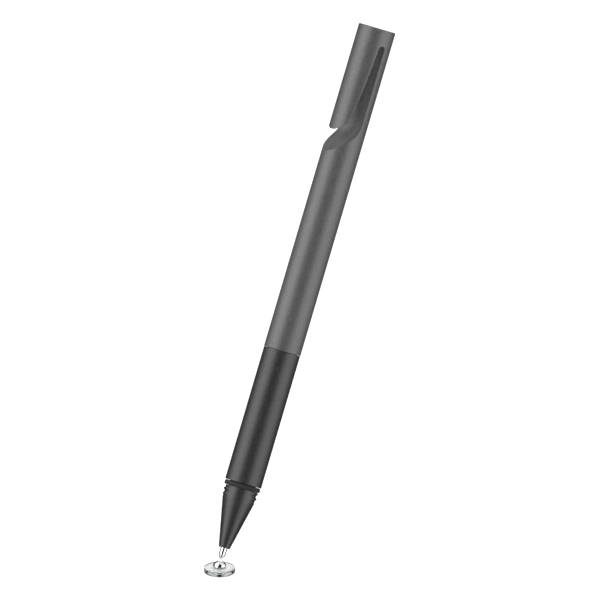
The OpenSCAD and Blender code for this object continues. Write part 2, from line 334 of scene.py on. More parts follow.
def vary_gloss(tree, shader, noise, roughness, less, more):
    """The shader's roughness, from a little less to a little more than the one given."""
    tree.links.new(between(tree, noise, roughness - less, roughness + more), shader.inputs["Roughness"])


def bump(tree, shader, noise, strength, depth):
    """Bumps of that depth in metres in the shader's surface."""
    node = tree.nodes.new("ShaderNodeBump")
    node.inputs["Strength"].default_value = strength
    node.inputs["Distance"].default_value = depth
    tree.links.new(noise, node.inputs["Height"])
    tree.links.new(node.outputs["Normal"], shader.inputs["Normal"])


# Anodised finish: size of the blasting's grain and pits and of the faint clouds, and how much of the tone
# comes from the grain and from the clouds
BLAST_GRAIN = 0.42 * MM
BLAST_PITS = 0.09 * MM
BLAST_DEPTH = 0.004 * MM
CLOUDS = 6 * MM
TONE_FROM_GRAIN = 0.75
TONE_FROM_CLOUDS = (0.06, 0.19)
# Painted light in the narrow slot, against the shade that falls there: how much lighter its walls are
# painted, the heights along the pen between which that grows, and the distances from the pen's middle plane
SLOT_PAINTED_LIGHT = 4.0
SLOT_PAINTED_LIGHT_ALONG = (88 * MM, 112 * MM)
SLOT_PAINTED_LIGHT_ACROSS = (4.0 * MM, 2.2 * MM)


def anodised(name, colour, metallic, roughness, painted_slot_light=False):
    """Bead-blasted aluminium under a dyed oxide layer: a fine even grain with faint clouds. The slot's
    walls can get painted light, lighter deep in the slot and towards the pen's top.
    """
    material, tree, shader = new_material(name)
    fine = grain(tree, BLAST_GRAIN, detail=3.0)
    clouds = between(tree, grain(tree, CLOUDS), *TONE_FROM_CLOUDS)
    tone = calculated(tree, "MULTIPLY_ADD", between(tree, fine, 0.0, 1.0), TONE_FROM_GRAIN, clouds)
    base = toned(tree, tone, colour, spread=0.2)
    # Painted light: deep in the slot and towards the pen's top the walls are painted lighter, against the
    # shade there
    if painted_slot_light:
        up = between(tree, distance_along(tree, AXIS), 0.0, SLOT_PAINTED_LIGHT - 1, *SLOT_PAINTED_LIGHT_ALONG)
        from_middle = distance_along(tree, SIDEWAYS, either_side=True)
        deep = between(tree, from_middle, 0.0, 1.0, *SLOT_PAINTED_LIGHT_ACROSS)
        base = scaled(tree, base, calculated(tree, "MULTIPLY_ADD", up, deep, 1.0))
    tree.links.new(base, shader.inputs["Base Color"])
    vary_gloss(tree, shader, fine, roughness, less=0.04, more=0.05)
    shader.inputs["Metallic"].default_value = metallic
    bump(tree, shader, grain(tree, BLAST_PITS), strength=0.35, depth=BLAST_DEPTH)
    return material


# Polished finish: size of the wear and of the finest marks
WEAR = 0.35 * MM
POLISH_MARKS = 0.05 * MM
POLISH_DEPTH = 0.0002 * MM
# Painted shade on the drawn-in foot of the hub, next to the disc: how bright the plating's colour is there,
# and the heights from the ball's centre between which it brightens
PAINTED_FOOT_SHADE = 0.3
PAINTED_FOOT_SHADE_UP_TO = (-0.52 * MM, -0.4 * MM)
UPRIGHT = Vector((0, 0, 1))


def polished(name, colour, roughness, scratch, painted_foot_shade=False):
    """Polished plating or turned metal, with fine wear that varies its gloss. The hub's foot can get
    painted shade.
    """
    material, tree, shader = new_material(name)
    worn = grain(tree, WEAR, detail=4.0, roughness=0.6)
    base = toned(tree, between(tree, worn, 0.0, 1.0), colour, spread=0.04)
    # Painted shade: the colour is darker at the hub's foot, next to the disc, so that its reflections there
    # are dim
    if painted_foot_shade:
        height = distance_along(tree, UPRIGHT)
        base = scaled(tree, base, between(tree, height, PAINTED_FOOT_SHADE, 1.0, *PAINTED_FOOT_SHADE_UP_TO))
    tree.links.new(base, shader.inputs["Base Color"])
    vary_gloss(tree, shader, worn, roughness, less=0.0, more=scratch)
    shader.inputs["Metallic"].default_value = 1.0
    bump(tree, shader, grain(tree, POLISH_MARKS), strength=0.1, depth=POLISH_DEPTH)
    return material


# Moulded finish: size and depth of its skin
SKIN_GRAIN = 0.15 * MM
SKIN_DEPTH = 0.006 * MM


def moulded(name, colour, roughness):
    """Matte rubber or plastic with a fine moulded skin."""
    material, tree, shader = new_material(name)
    skin = grain(tree, SKIN_GRAIN, detail=3.0)
    base = toned(tree, between(tree, skin, 0.0, 1.0), colour, spread=0.15)
    tree.links.new(base, shader.inputs["Base Color"])
    vary_gloss(tree, shader, skin, roughness, less=0.05, more=0.07)
    bump(tree, shader, skin, strength=0.3, depth=SKIN_DEPTH)
    return material


# Clear finish: size of the handling marks and of the waviness, and the grey of the tint
HANDLING_MARKS = 0.5 * MM
WAVES = 1.2 * MM
WAVE_DEPTH = 0.002 * MM
TINT = 0.5


def clear(name, colour, roughness, ior, takes_per_mm=0.0):
    """Clear plastic with the faintest waviness and marks. takes_per_mm is what its grey tint absorbs."""
    material, tree, shader = new_material(name)
    if takes_per_mm:
        tint = tree.nodes.new("ShaderNodeVolumeAbsorption")
        tint.inputs["Color"].default_value = (TINT, TINT, TINT, 1)
        tint.inputs["Density"].default_value = takes_per_mm / MM / (1 - TINT)
        tree.links.new(tint.outputs["Volume"], tree.nodes["Material Output"].inputs["Volume"])
    marks = grain(tree, HANDLING_MARKS, detail=4.0, roughness=0.6)
    base = toned(tree, between(tree, marks, 0.0, 1.0), colour, spread=0.01)
    tree.links.new(base, shader.inputs["Base Color"])
    vary_gloss(tree, shader, marks, roughness, less=0.0, more=0.03)
    shader.inputs["Transmission Weight"].default_value = 1.0
    shader.inputs["IOR"].default_value = ior
    bump(tree, shader, grain(tree, WAVES), strength=0.15, depth=WAVE_DEPTH)
    let_lamps_through(tree, shader)
    return material


def let_lamps_through(tree, shader):
    """Shadow rays and diffuse ones pass the piece, so that what is under it is lit."""
    path = tree.nodes.new("ShaderNodeLightPath")
    passing = calculated(tree, "MAXIMUM", path.outputs["Is Shadow Ray"], path.outputs["Is Diffuse Ray"])
    open_way = tree.nodes.new("ShaderNodeBsdfTransparent")
    both = tree.nodes.new("ShaderNodeMixShader")
    tree.links.new(passing, both.inputs["Fac"])
    tree.links.new(shader.outputs["BSDF"], both.inputs[1])
    tree.links.new(open_way.outputs["BSDF"], both.inputs[2])
    tree.links.new(both.outputs["Shader"], tree.nodes["Material Output"].inputs["Surface"])


GREY = (0.105, 0.105, 0.107)
BLACK = (0.058, 0.058, 0.059)
CHROME = (0.8, 0.81, 0.82)

barrel_grey = anodised("barrel_grey", GREY, metallic=0.35, roughness=0.4)
# The walls of the barrel's slot: the same grey, with painted light deep in the slot
milled_grey_painted_light = anodised("milled_grey_painted_light", GREY, metallic=0.35, roughness=0.4, painted_slot_light=True)
grip_black = anodised("grip_black", BLACK, metallic=0.7, roughness=0.4)
nose_black = anodised("nose_black", BLACK, metallic=0.7, roughness=0.38)
black_rubber = moulded("black_rubber", (0.016, 0.016, 0.016), roughness=0.8)
pin_chrome = polished("pin_chrome", CHROME, roughness=0.05, scratch=0.03)
# The hub's plating, with painted shade at its foot
hub_chrome = polished("hub_chrome", CHROME, roughness=0.05, scratch=0.03, painted_foot_shade=True)
brass = polished("brass", (0.78, 0.62, 0.3), roughness=0.22, scratch=0.12)
bush_plastic = moulded("bush_plastic", (0.82, 0.8, 0.74), roughness=0.45)
spring_steel = polished("spring_steel", (0.6, 0.61, 0.63), roughness=0.2, scratch=0.1)
clear_plastic = clear("clear_plastic", (0.98, 0.985, 0.99), roughness=0.0, ior=1.49, takes_per_mm=0.1)
contact_film = clear("contact_film", (0.96, 0.97, 0.975), roughness=0.02, ior=1.1)

# Finish and material slot of each node
FINISHES = {
    "barrel": (barrel_grey, "barrel_grey"),
    "grip_sleeve": (grip_black, "grip_black"),
    "nose_cone": (nose_black, "nose_black"),
    "cap_o_ring": (black_rubber, "black_rubber"),
    "tip_pin": (pin_chrome, "pin_chrome"),
    "disc_hub": (hub_chrome, "hub_chrome"),
    "barrel_coupling": (brass, "brass"),
    "spring_plug": (brass, "brass"),
    "contact_plunger": (brass, "brass"),
    "tip_bush": (bush_plastic, "bush_plastic"),
    "cushion_spring": (spring_steel, "spring_steel"),
    "disc": (clear_plastic, "clear_plastic"),
    "contact_film": (contact_film, "contact_film"),
}
for node, (material, _) in FINISHES.items():
    shown = frame["nodes"][node]
    shown.data.materials.clear()
    shown.data.materials.append(material)


# Pieces. Sizes are in millimetres, heights along the pen from the centre of the tip's ball,
# and the first ones are read from the CAD nodes.

NOSE_Z, SPIGOT_TOP_Z, THREAD_R = reach("nose_cone")
GRIP_Z, SEAM_Z, GRIP_R = reach("grip_sleeve")
_, TOP_Z, BARREL_R = reach("barrel")
BUSH_Z, BUSH_TOP_Z, BUSH_FLANGE_R = reach("tip_bush")
_, TAIL_TOP_Z, COLLAR_R = reach("tip_pin")
PLUNGER_Z, STEM_TOP_Z, PLUNGER_R = reach("contact_plunger")
COUPLING_Z, COUPLING_TOP_Z, COUPLING_COLLAR_R = reach("barrel_coupling")
SPRING_Z, SPRING_TOP_Z, SPRING_OUT_R = reach("cushion_spring")
RING_OUT_R = reach("cap_o_ring")[2]

# Edge breaks of the larger turned pieces and of the small ones
EDGE = 0.12
FINE_EDGE = 0.05
BORE_R = 3.1
BUSH_R = 1.16
JOIN_GAP = 0.05
FACE_GAP = 0.02

# Nose
CONE_TOP_Z = 14.05
NOSE_END_R = 1.21
CONE_TOP_R = 3.48
THREAD_FOOT_Z = 14.3
THREAD_TOP_Z = 16.6
THREAD_ROOT_R = 3.44
THREAD_PITCH = 1.11
THREAD_START_Z = 14.52
THREAD_TURNS = 1.85
THREAD_START = math.radians(-69.7)
RIDGE_W = 0.74
THREAD_FADE = 0.18
THREAD_FLANK = 1.2
# The cap thread stands on two sides only, and is all but turned away between them
THREAD_SIDE = math.radians(-34)
THREAD_OPEN = 0.62
THREAD_RUN_OUT = 0.3
THREAD_REST = 0.03
GROOVE_R = 2.84
SPIGOT_R = 2.95
FRONT_HOLE_R = 0.78
CUSHION_BORE_R = 1.5
PLUG_BORE_R = 2.0
PLUG_Z = 21.02
BUSH_SEAT_Z = 8.5
# The spigot's fine thread starts this far up the spigot, and ends this far below its top
SPIGOT_LEAD = 1.2
SPIGOT_END = 0.5
FINE_PITCH = 0.5
FINE_THREAD_H = 0.12
# Distance between the rings of points that each thread is cut into
CAP_THREAD_ROWS = 0.04
FINE_THREAD_ROWS = 0.06


def nose_cone():
    ridge_h = THREAD_R - THREAD_ROOT_R
    cap_thread = ridge(THREAD_START_Z, THREAD_PITCH, THREAD_TURNS, RIDGE_W, ridge_h, THREAD_START)
    spigot_thread_z = GRIP_Z + SPIGOT_LEAD
    spigot_turns = (SPIGOT_TOP_Z - SPIGOT_END - spigot_thread_z) / FINE_PITCH
    spigot_thread = ridge(spigot_thread_z, FINE_PITCH, spigot_turns, FINE_PITCH, FINE_THREAD_H)
    spigot_root_r = SPIGOT_R - FINE_THREAD_H

    def threaded(radius, z, angle):
        if CONE_TOP_Z < z < THREAD_TOP_Z and radius > THREAD_ROOT_R - ON_AXIS:
            towards_side = abs(math.cos(angle - THREAD_SIDE))
            left_standing = smoothstep((towards_side - THREAD_OPEN) / THREAD_RUN_OUT)
            return radius + cap_thread(z, angle) * (THREAD_REST + (1 - THREAD_REST) * left_standing)
        if GRIP_Z < z < SPIGOT_TOP_Z and abs(radius - spigot_root_r) < ON_AXIS:
            return radius + spigot_thread(z, angle)
        return radius

    outline = eased([
        (FRONT_HOLE_R, NOSE_Z),
        (NOSE_END_R, NOSE_Z),
        (CONE_TOP_R, CONE_TOP_Z),
        (THREAD_ROOT_R, THREAD_FOOT_Z),
        (THREAD_ROOT_R, THREAD_TOP_Z),
        (GROOVE_R, THREAD_TOP_Z),
        (GROOVE_R, GRIP_Z),
        (SPIGOT_R, GRIP_Z),
        (SPIGOT_R, spigot_thread_z - FINE_PITCH),
        (spigot_root_r, spigot_thread_z - FINE_PITCH + FINE_THREAD_H),
        (spigot_root_r, SPIGOT_TOP_Z),
        (PLUG_BORE_R, SPIGOT_TOP_Z),
        (PLUG_BORE_R, PLUG_Z),
        (CUSHION_BORE_R, PLUG_Z),
        (CUSHION_BORE_R, BUSH_SEAT_Z),
        (BUSH_R + JOIN_GAP, BUSH_SEAT_Z),
        (BUSH_R + JOIN_GAP, BUSH_Z),
        (FRONT_HOLE_R, BUSH_Z),
    ], FINE_EDGE)
    outline = in_rows(outline, THREAD_FOOT_Z, THREAD_TOP_Z, CAP_THREAD_ROWS)
    outline = in_rows(outline, spigot_thread_z - FINE_PITCH, SPIGOT_TOP_Z, FINE_THREAD_ROWS)
    return turned("nose_cone_turned", "nose_cone", "handle", outline, shape=threaded)


# Grip
SEAM_GAP = 0.03
SPIGOT_BORE_R = 3.0
GRIP_INNER_R = 2.55
COLLAR_Z = 45.72
SHOULDER_Z = 37.17


def grip_sleeve():
    top_z = SEAM_Z - SEAM_GAP
    outline = eased([
        (SPIGOT_BORE_R, GRIP_Z),
        (GRIP_R, GRIP_Z),
        (GRIP_R, top_z),
        (COUPLING_COLLAR_R + JOIN_GAP, top_z),
        (COUPLING_COLLAR_R + JOIN_GAP, COLLAR_Z),
        (BORE_R, COLLAR_Z),
        (BORE_R, SHOULDER_Z),
        (GRIP_INNER_R, SHOULDER_Z),
        (GRIP_INNER_R, SPIGOT_TOP_Z),
        (SPIGOT_BORE_R, SPIGOT_TOP_Z),
    ], EDGE)
    return turned("grip_turned", "grip_sleeve", "handle", outline)


# O-ring: the fuller section of a ring squeezed into its groove
RING_W = 1.03
RING_H = 1.08
RING_SQUARENESS = 3.2
RING_STEPS = 40


def cap_o_ring():
    middle_z = THREAD_TOP_Z + FACE_GAP + RING_W / 2
    middle_r = RING_OUT_R - RING_H / 2
    outline = []
    power = 2 / RING_SQUARENESS
    for i in range(RING_STEPS):
        a = 2 * math.pi * i / RING_STEPS
        out = abs(math.cos(a)) ** power * math.copysign(RING_H / 2, math.cos(a))
        along = abs(math.sin(a)) ** power * math.copysign(RING_W / 2, math.sin(a))
        outline.append((middle_r + out, middle_z + along))
    return turned("o_ring_moulded", "cap_o_ring", "handle", outline)


# Coupling
COUPLING_R = 3.05
COUPLING_BORE_R = 1.95


def barrel_coupling():
    turns = (COUPLING_TOP_Z - COUPLING_Z) / FINE_PITCH
    thread = ridge(COUPLING_Z, FINE_PITCH, turns, FINE_PITCH, FINE_THREAD_H)
    root_r = COUPLING_R - FINE_THREAD_H

    def threaded(radius, z, angle):
        return radius + thread(z, angle) if abs(radius - root_r) < ON_AXIS else radius

    outline = eased([
        (COUPLING_BORE_R, COUPLING_Z),
        (root_r, COUPLING_Z),
        (root_r, COLLAR_Z),
        (COUPLING_COLLAR_R, COLLAR_Z),
        (COUPLING_COLLAR_R, SEAM_Z),
        (root_r, SEAM_Z),
        (root_r, COUPLING_TOP_Z),
        (COUPLING_BORE_R, COUPLING_TOP_Z),
    ], EDGE)
    outline = in_rows(outline, COUPLING_Z, COLLAR_Z, FINE_THREAD_ROWS)
    outline = in_rows(outline, SEAM_Z, COUPLING_TOP_Z, FINE_THREAD_ROWS)
    return turned("coupling_threaded", "barrel_coupling", "handle", outline, shape=threaded)


# Pin, bush, plunger and spring
BALL_R = 0.5
NECK_R = 0.18
NECK_Z = 0.9
TAPER_Z = 2.35
PIN_R = 0.73
TAIL_R = 0.5
COLLAR_TOP_Z = 9.92
BUSH_HOLE_R = 0.76
STEM_R = 0.75
CUP_R = 0.53
PLUNGER_TOP_Z = 11.44


def tip_pin():
    ball_top = math.degrees(math.acos(NECK_R / BALL_R))
    taper_w = PIN_R - NECK_R
    taper_h = TAPER_Z - NECK_Z
    taper_r = (taper_h ** 2 + taper_w ** 2) / (2 * taper_w)
    taper_angle = math.degrees(math.asin(taper_h / taper_r))
    head = arc(0, 0, BALL_R, -90, ball_top, 4 * ARC_STEPS)
    head += arc(PIN_R - taper_r, TAPER_Z, taper_r, -taper_angle, 0, 4 * ARC_STEPS)
    head[0] = (0, -BALL_R)
    shank = eased([
        (PIN_R, TAPER_Z),
        (PIN_R, BUSH_TOP_Z + FACE_GAP),
        (COLLAR_R, BUSH_TOP_Z + FACE_GAP),
        (COLLAR_R, COLLAR_TOP_Z),
        (TAIL_R, COLLAR_TOP_Z),
        (TAIL_R, TAIL_TOP_Z),
        (0, TAIL_TOP_Z),
    ], FINE_EDGE, closed=False)
    return turned("pin_polished", "tip_pin", "pin", head + shank[1:])


def tip_bush():
    outline = eased([
        (BUSH_HOLE_R, BUSH_Z),
        (BUSH_R, BUSH_Z),
        (BUSH_R, BUSH_SEAT_Z),
        (BUSH_FLANGE_R, BUSH_SEAT_Z),
        (BUSH_FLANGE_R, BUSH_TOP_Z),
        (BUSH_HOLE_R, BUSH_TOP_Z),
    ], FINE_EDGE)
    return turned("bush_turned", "tip_bush", "handle", outline)


def contact_plunger():
    cup_top_z = TAIL_TOP_Z + FACE_GAP
    outline = eased([
        (CUP_R, PLUNGER_Z),
        (PLUNGER_R, PLUNGER_Z),
        (PLUNGER_R, PLUNGER_TOP_Z),
        (STEM_R, PLUNGER_TOP_Z),
        (STEM_R, STEM_TOP_Z),
        (0, STEM_TOP_Z),
        (0, cup_top_z),
        (CUP_R, cup_top_z),
    ], FINE_EDGE)
    return turned("plunger_turned", "contact_plunger", "plunger", outline)


# Spring, with its first and last coils closed but for a small gap
SPRING_TURNS = 11
COIL_GAP = 0.03
WIRE_R = 0.14
WIRE_SIDES = 12
RINGS_PER_TURN = 36


def cushion_spring():
    spring_len = SPRING_TOP_Z - SPRING_Z
    closed_rise = 2 * WIRE_R + COIL_GAP
    open_rise = (spring_len - 2 * WIRE_R - 2 * closed_rise) / (SPRING_TURNS - 2)
    coil_r = SPRING_OUT_R - WIRE_R
    bm = bmesh.new()
    rings = []
    for i in range(SPRING_TURNS * RINGS_PER_TURN + 1):
        turn = i / RINGS_PER_TURN
        open_turns = max(0.0, min(turn - 1, SPRING_TURNS - 2))
        rise = (turn - open_turns) * closed_rise + open_turns * open_rise
        around = 2 * math.pi * turn
        ring = []
        for k in range(WIRE_SIDES):
            a = 2 * math.pi * k / WIRE_SIDES
            r = coil_r + WIRE_R * math.cos(a)
            z = SPRING_Z + WIRE_R + rise + WIRE_R * math.sin(a)
            point = Vector((r * math.cos(around), r * math.sin(around), z))
            ring.append(bm.verts.new(PEN_MM @ point))
        rings.append(ring)
    quads(bm, [ring + ring[:1] for ring in rings])
    bm.faces.new(rings[0])
    bm.faces.new(rings[-1])
    piece = finished("spring_wound", bm, "cushion_spring", "handle")
    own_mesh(piece)
    return piece


# Disc and hub, with heights from the floor of the CAD. A hair's breadth between the clear pieces and under
# them lets light pass.
FILM_Z = 0.004
FILM_TOP_Z = 0.074
DISC_Z = 0.082
DISC_TOP_Z = 1.05
DISC_R = 3.35
DISC_HOLE_R = 1.13
DISC_EDGE = 0.14
FILM_R = 3.11
DOME_R = 1.5
MOUTH_Z = 2.2
MOUTH_OUT_R = 0.66
BALL_Z = BALL.z / MM
SOCKET_R = 0.53
# The lowest part of the dome is drawn in to its foot on the disc
HUB_FOOT_R = 1.26
HUB_FOOT_H = 0.5
HUB_STEM_R = 1.1
# Lead-in at the stem's lower end
STEM_LEAD_W = 0.2
STEM_LEAD_H = 0.3


def disc():
    outline = eased([
        (DISC_HOLE_R, DISC_Z),
        (DISC_R, DISC_Z),
        (DISC_R, DISC_TOP_Z),
        (DISC_HOLE_R, DISC_TOP_Z),
    ], DISC_EDGE)
    return turned("disc_clear", "disc", "tip_disc", outline, DISC_MM)


def contact_film_sheet():
    outline = [(0, FILM_Z), (FILM_R, FILM_Z), (FILM_R, FILM_TOP_Z), (0, FILM_TOP_Z)]
    return turned("film_sheet", "contact_film", "tip_disc", outline, DISC_MM)


def disc_hub():
    dome_top = math.degrees(math.acos(MOUTH_OUT_R / DOME_R))
    dome_foot = math.degrees(math.asin(HUB_FOOT_H / DOME_R))
    mouth = math.degrees(math.asin((MOUTH_Z - BALL_Z) / SOCKET_R))
    foot = eased([
        (0, DISC_Z),
        (HUB_STEM_R - STEM_LEAD_W, DISC_Z),
        (HUB_STEM_R, DISC_Z + STEM_LEAD_H),
        (HUB_STEM_R, DISC_TOP_Z),
        (HUB_FOOT_R, DISC_TOP_Z),
        (DOME_R * math.cos(math.radians(dome_foot)), DISC_TOP_Z + HUB_FOOT_H),
    ], FINE_EDGE, closed=False)
    dome = arc(0, DISC_TOP_Z, DOME_R, dome_foot, dome_top, 3 * ARC_STEPS)
    socket = arc(0, BALL_Z, SOCKET_R, mouth, -90, 3 * ARC_STEPS)
    rim = eased([dome[-2], dome[-1], socket[0], socket[1]], FINE_EDGE, closed=False)
    socket[-1] = (0, BALL_Z - SOCKET_R)
    outline = foot[:-1] + dome[:-2] + rim + socket[2:]
    return turned("hub_polished", "disc_hub", "tip_disc", outline, DISC_MM)


# Barrel. The cut that frees the clip is given by its profile across the pen: (x, height from the top), from
# the lip of the ramp, up the slot's flat back wall, round its top, down the clip's inner face to its tip.
SLOT_R = 0.76
SLOT_CENTRE = -4.26
RAMP_ANGLE = math.radians(41.5)
BEND_R = 5.2
CLIP_LEN = 23.4
CLIP_MOUTH = 4.7
CLIP_TIP_T = 1.65
CLIP_END_ANGLE = math.radians(36.7)
CLIP_BOW = 0.21
CLIP_TIP_R = 0.05
TOP_ROUND = 0.25
BORE_WEB = 3.9
DRILL_ANGLE = math.radians(59)
# Width of the broken edge along the cut, and at the corner of the clip, to which it widens along the inner
# face. Over the last few points it narrows again, and the corner itself is rounded.
CUT_EDGE = 0.05
CLIP_EDGE = 0.3
CLIP_EDGE_END = 4
CLIP_CORNER = 0.15
# Steps of the stretches of the profile, and of the broken edge, the walls and the skin beside it
RAMP_STEPS = 30
BEND_STEPS = 10
BACK_WALL_STEPS = 34
SLOT_END_STEPS = 16
INNER_FACE_STEPS = 36
END_FACE_STEPS = 14
CLIP_TIP_STEPS = 10
CUT_EDGE_STEPS = 4
WALL_STEPS = 8
SKIN_STEPS = 56
# The skin's mesh reaches this far below the lip, and its even points stay this far from the cut
SKIN_BELOW_LIP = 1
SKIN_CLEARANCE = 0.16
SAME_POINT = 1e-6


def line(a, b, steps):
    """Points of a straight stretch, evenly spaced."""
    return [(a[0] + (b[0] - a[0]) * i / steps, a[1] + (b[1] - a[1]) * i / steps) for i in range(steps + 1)]


def slope(a, b, steps):
    """Points of a straight stretch, at even turns round the barrel."""
    turn_a = math.acos(a[0] / BARREL_R)
    turn_b = math.acos(b[0] / BARREL_R)
    points = []
    for i in range(steps + 1):
        x = BARREL_R * math.cos(turn_a + (turn_b - turn_a) * i / steps)
        points.append((x, a[1] + (b[1] - a[1]) * (x - a[0]) / (b[0] - a[0])))
    return points


def cut_profile():
    """Points of the cut's profile, and where the clip's inner face begins and ends in the list."""
    lip = (BARREL_R, -CLIP_LEN - CLIP_MOUTH)
    bend_x = BEND_R - SLOT_R
    ramp_end_x = bend_x - BEND_R * math.cos(RAMP_ANGLE)
    ramp_end = (ramp_end_x, lip[1] + (BARREL_R - ramp_end_x) / math.tan(RAMP_ANGLE))
    bend_z = ramp_end[1] + BEND_R * math.sin(RAMP_ANGLE)
    points = slope(lip, ramp_end, RAMP_STEPS)
    points += arc(bend_x, bend_z, BEND_R, 180 + math.degrees(RAMP_ANGLE), 180, BEND_STEPS)[1:]
    points += line((-SLOT_R, bend_z), (-SLOT_R, SLOT_CENTRE), BACK_WALL_STEPS)[1:]
    points += arc(0, SLOT_CENTRE, SLOT_R, 180, 0, SLOT_END_STEPS)[1:]
    clip_start = len(points)

    # The clip's inner face, bowed inwards most at its middle, and its end face and tip
    slot_end = Vector((SLOT_R, SLOT_CENTRE))
    clip_corner = Vector((BARREL_R - CLIP_TIP_T, -CLIP_LEN + CLIP_TIP_T / math.tan(CLIP_END_ANGLE)))
    face = clip_corner - slot_end
    bow = Vector((face.y, -face.x)).normalized() * CLIP_BOW
    inner = bend(slot_end, slot_end + face / 2 + bow * 2, clip_corner, INNER_FACE_STEPS)
    tip_z = -CLIP_LEN + CLIP_TIP_R / math.tan(CLIP_END_ANGLE / 2)
    tip_from = math.degrees(CLIP_END_ANGLE) - 180
    tip = arc(BARREL_R - CLIP_TIP_R, tip_z, CLIP_TIP_R, tip_from, 0, CLIP_TIP_STEPS)
    end_face = slope(clip_corner, tip[0], END_FACE_STEPS)
    points += inner[1:-2] + eased([inner[-2], clip_corner, end_face[1]], CLIP_CORNER, closed=False)
    clip_end = len(points)
    points += end_face[2:] + tip[1:]
    return [Vector((x, TOP_Z + z)) for x, z in points], clip_start, clip_end


def on_skin(point):
    """The place on the barrel of a point of its unrolled skin, given as the way round it and the height."""
    turn = point.x / BARREL_R
    return Vector((BARREL_R * math.cos(turn), BARREL_R * math.sin(turn), point.y))


def skin_round_cut(bm, skin_loop, low, high):
    """The barrel's skin from low to high but for the cut, as a mesh of triangles on the unrolled skin."""
    half_turn = math.pi * BARREL_R
    columns = [half_turn * (2 * k / SEGMENTS - 1) for k in range(SEGMENTS + 1)]
    levels = [low + (high - low) * k / SKIN_STEPS for k in range(SKIN_STEPS + 1)]
    loop = np.array([tuple(p) for p in skin_loop])
    after = np.roll(loop, -1, axis=0)
    step = after - loop

    def inside_cut(points):
        """Which points lie inside the loop: those with an odd number of its sides to their right."""
        u = points[:, 0:1]
        z = points[:, 1:2]
        crosses = (loop[:, 1] > z) != (after[:, 1] > z)
        lean = step[:, 0] / np.where(step[:, 1] == 0, 1.0, step[:, 1])
        return (crosses & (u < loop[:, 0] + (z - loop[:, 1]) * lean)).sum(axis=1) % 2 == 1

    grid = np.array([(u, z) for z in levels for u in columns])
    nearest = np.sqrt(((grid[:, None, :] - loop[None, :, :]) ** 2).sum(axis=2)).min(axis=1)
    keep = (nearest > SKIN_CLEARANCE) & ~inside_cut(grid)
    points = [Vector(p) for p in grid[keep]] + [Vector(p) for p in loop]
    first = len(points) - len(loop)
    ties = [(first + i, first + (i + 1) % len(loop)) for i in range(len(loop))]
    spots, _, triangles, *_ = delaunay_2d_cdt(points, ties, [], 0, SAME_POINT)
    middles = np.array([[sum(spots[i][axis] for i in t) / 3 for axis in (0, 1)] for t in triangles])
    corners = [bm.verts.new(PEN_MM @ on_skin(p)) for p in spots]
    for triangle, gone in zip(triangles, inside_cut(middles)):
        if not gone:
            bm.faces.new([corners[i] for i in triangle])


